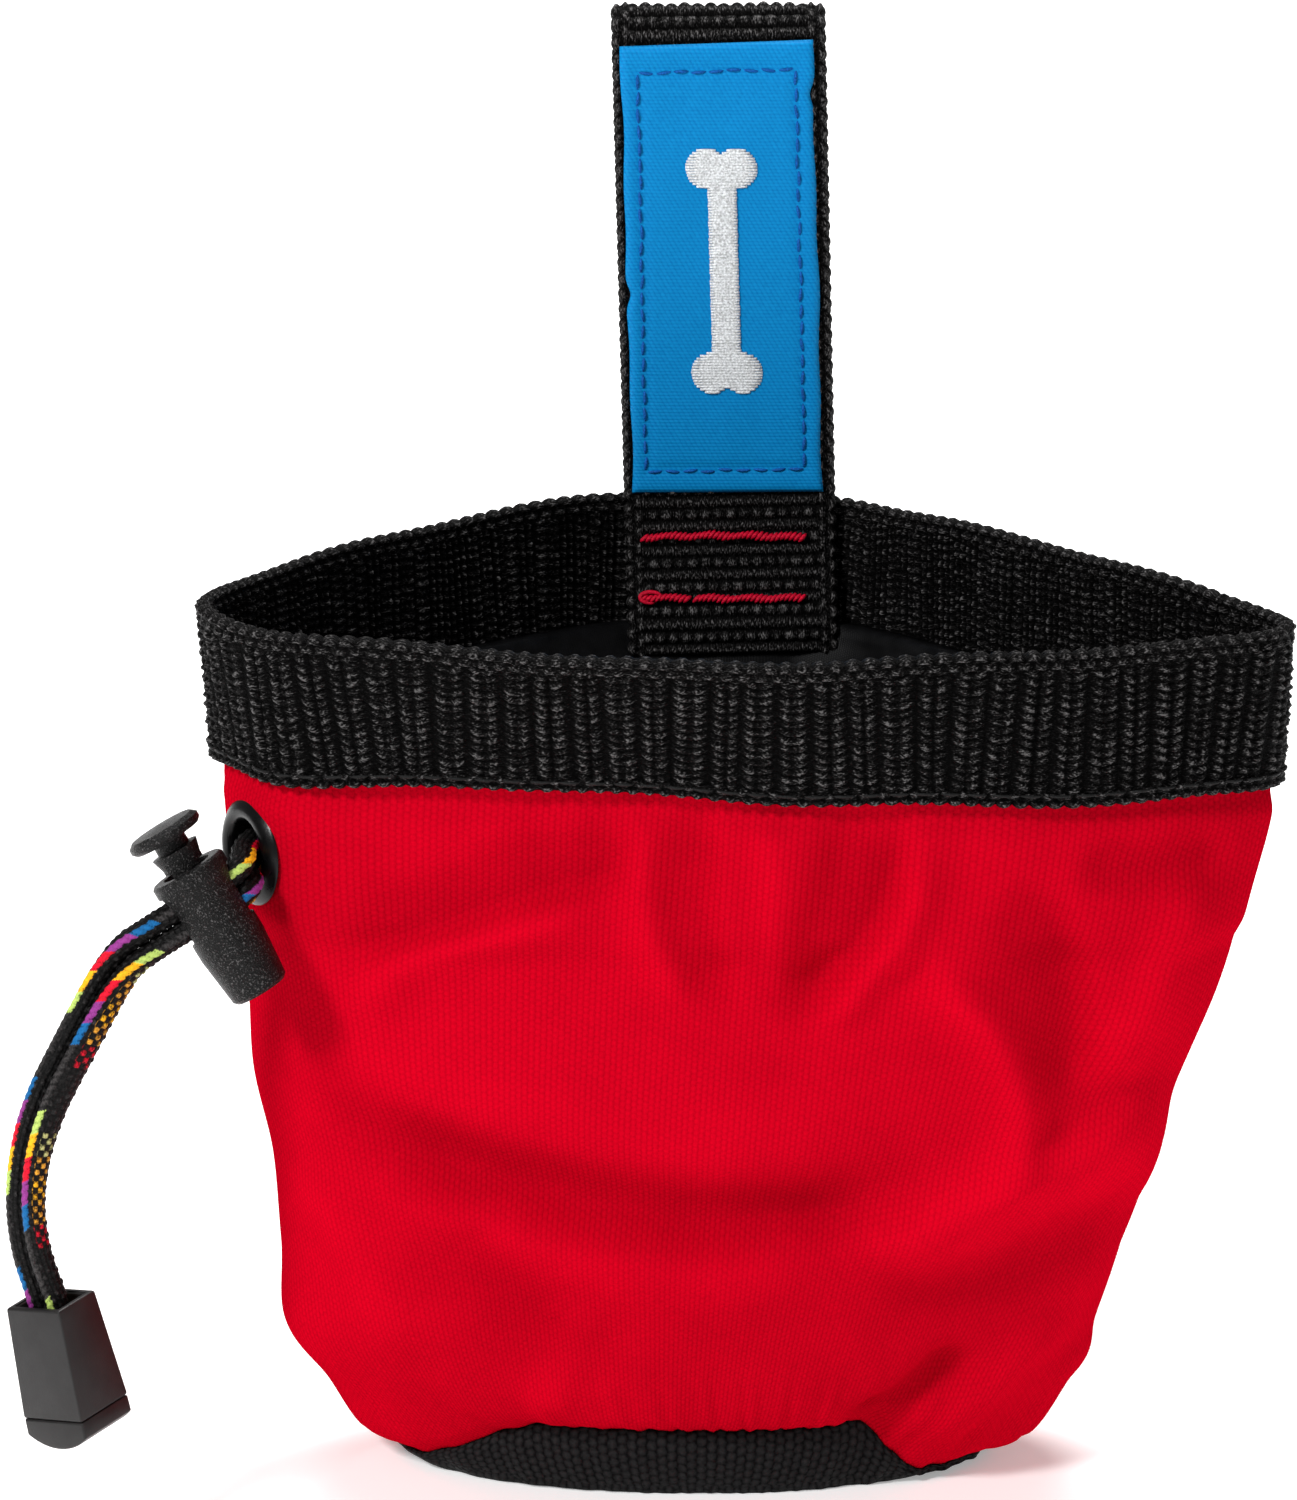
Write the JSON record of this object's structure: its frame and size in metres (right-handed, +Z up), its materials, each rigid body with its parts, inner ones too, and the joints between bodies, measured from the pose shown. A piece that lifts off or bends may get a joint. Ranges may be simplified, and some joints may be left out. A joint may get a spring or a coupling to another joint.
{
  "type": "treat pouch",
  "caption": "Belt-hung fabric treat pouch with a stiff webbing rim, flat base, webbing belt loop, and a side drawcord with a spring cord lock and cord end.",
  "frame": {"origin": "on the surface the pouch stands on, below the middle of the pouch's plan box, without the drawcord's free end", "axes": "+Z up out of the mouth, -Y to the front, +Y to the belt loop, +X to the right seen from the front; the eyelet and drawcord are on the -X side"},
  "size_m": [0.1486, 0.0851, 0.1696],
  "materials": {
    "black_webbing": "coarse ribbed webbing, low sheen",
    "black_thread": "twisted thread",
    "red_polyester": "fine plain weave, low sheen",
    "black_polyester": "coarse plain weave, low sheen",
    "black_nylon": "smooth nylon lining, soft sheen",
    "tracer_cord": "braided black cord with coloured tracer yarns",
    "painted_eyelet": "gloss black paint",
    "red_thread": "dense satin thread bar",
    "blue_label": "fine satin-woven label",
    "blue_thread": "twisted thread",
    "white_thread": "woven-in white motif",
    "smooth_black_plastic": "satin moulded plastic",
    "spring_steel": "bright steel wire",
    "textured_black_plastic": "spark-eroded texture, satin"
  },
  "bodies": {
    "pouch": {"rim_band": "black_webbing", "band_stitching": "black_thread", "shell_body": "red_polyester", "shell_base": "black_polyester", "lining_wall": "black_nylon", "lining_base": "black_nylon", "drawcord_loop": "tracer_cord", "eyelet_flange": "painted_eyelet", "eyelet_washer": "painted_eyelet", "strap_tail_inner": "black_webbing", "strap_tail_outer": "black_webbing", "bartack_upper": "red_thread", "bartack_lower": "red_thread"},
    "belt_loop": {"belt_loop_strap": "black_webbing", "label_patch": "blue_label", "label_stitching": "blue_thread", "label_bone": "white_thread"},
    "drawcord_tail": {"drawcord_strand_front": "tracer_cord", "drawcord_strand_rear": "tracer_cord", "cord_end_sleeve": "smooth_black_plastic", "cord_end_cap": "smooth_black_plastic"},
    "cord_lock": {"cord_lock_barrel": "textured_black_plastic", "cord_lock_spring": "spring_steel"},
    "lock_plunger": {"cord_lock_plunger": "textured_black_plastic"}
  },
  "joints": [
    {"name": "belt_loop_flex", "type": "hinge", "parent": "pouch", "child": "belt_loop", "pos_m": [-0.0019, 0.037, 0.11095], "axis": [1, 0, 0], "range_deg": [-25, 25], "stiffness_Nm_per_rad": 0.05},
    {"name": "cord_swing", "type": "hinge", "parent": "pouch", "child": "drawcord_tail", "pos_m": [-0.0565, -0.0198, 0.0813], "axis": [0, 1, 0], "range_deg": [0, 40], "deforming": ["drawcord_strand_front", "drawcord_strand_rear"]},
    {"name": "lock_slide", "type": "slide", "parent": "drawcord_tail", "child": "cord_lock", "axis": [-0.8497, -0.2049, -0.4858], "range_m": [0, 0.005]},
    {"name": "plunger_press", "type": "slide", "parent": "cord_lock", "child": "lock_plunger", "axis": [0.5121, -0.1, -0.8531], "range_m": [0, 0.002], "stiffness_N_per_m": 600, "springref_m": -0.002}
  ]
}
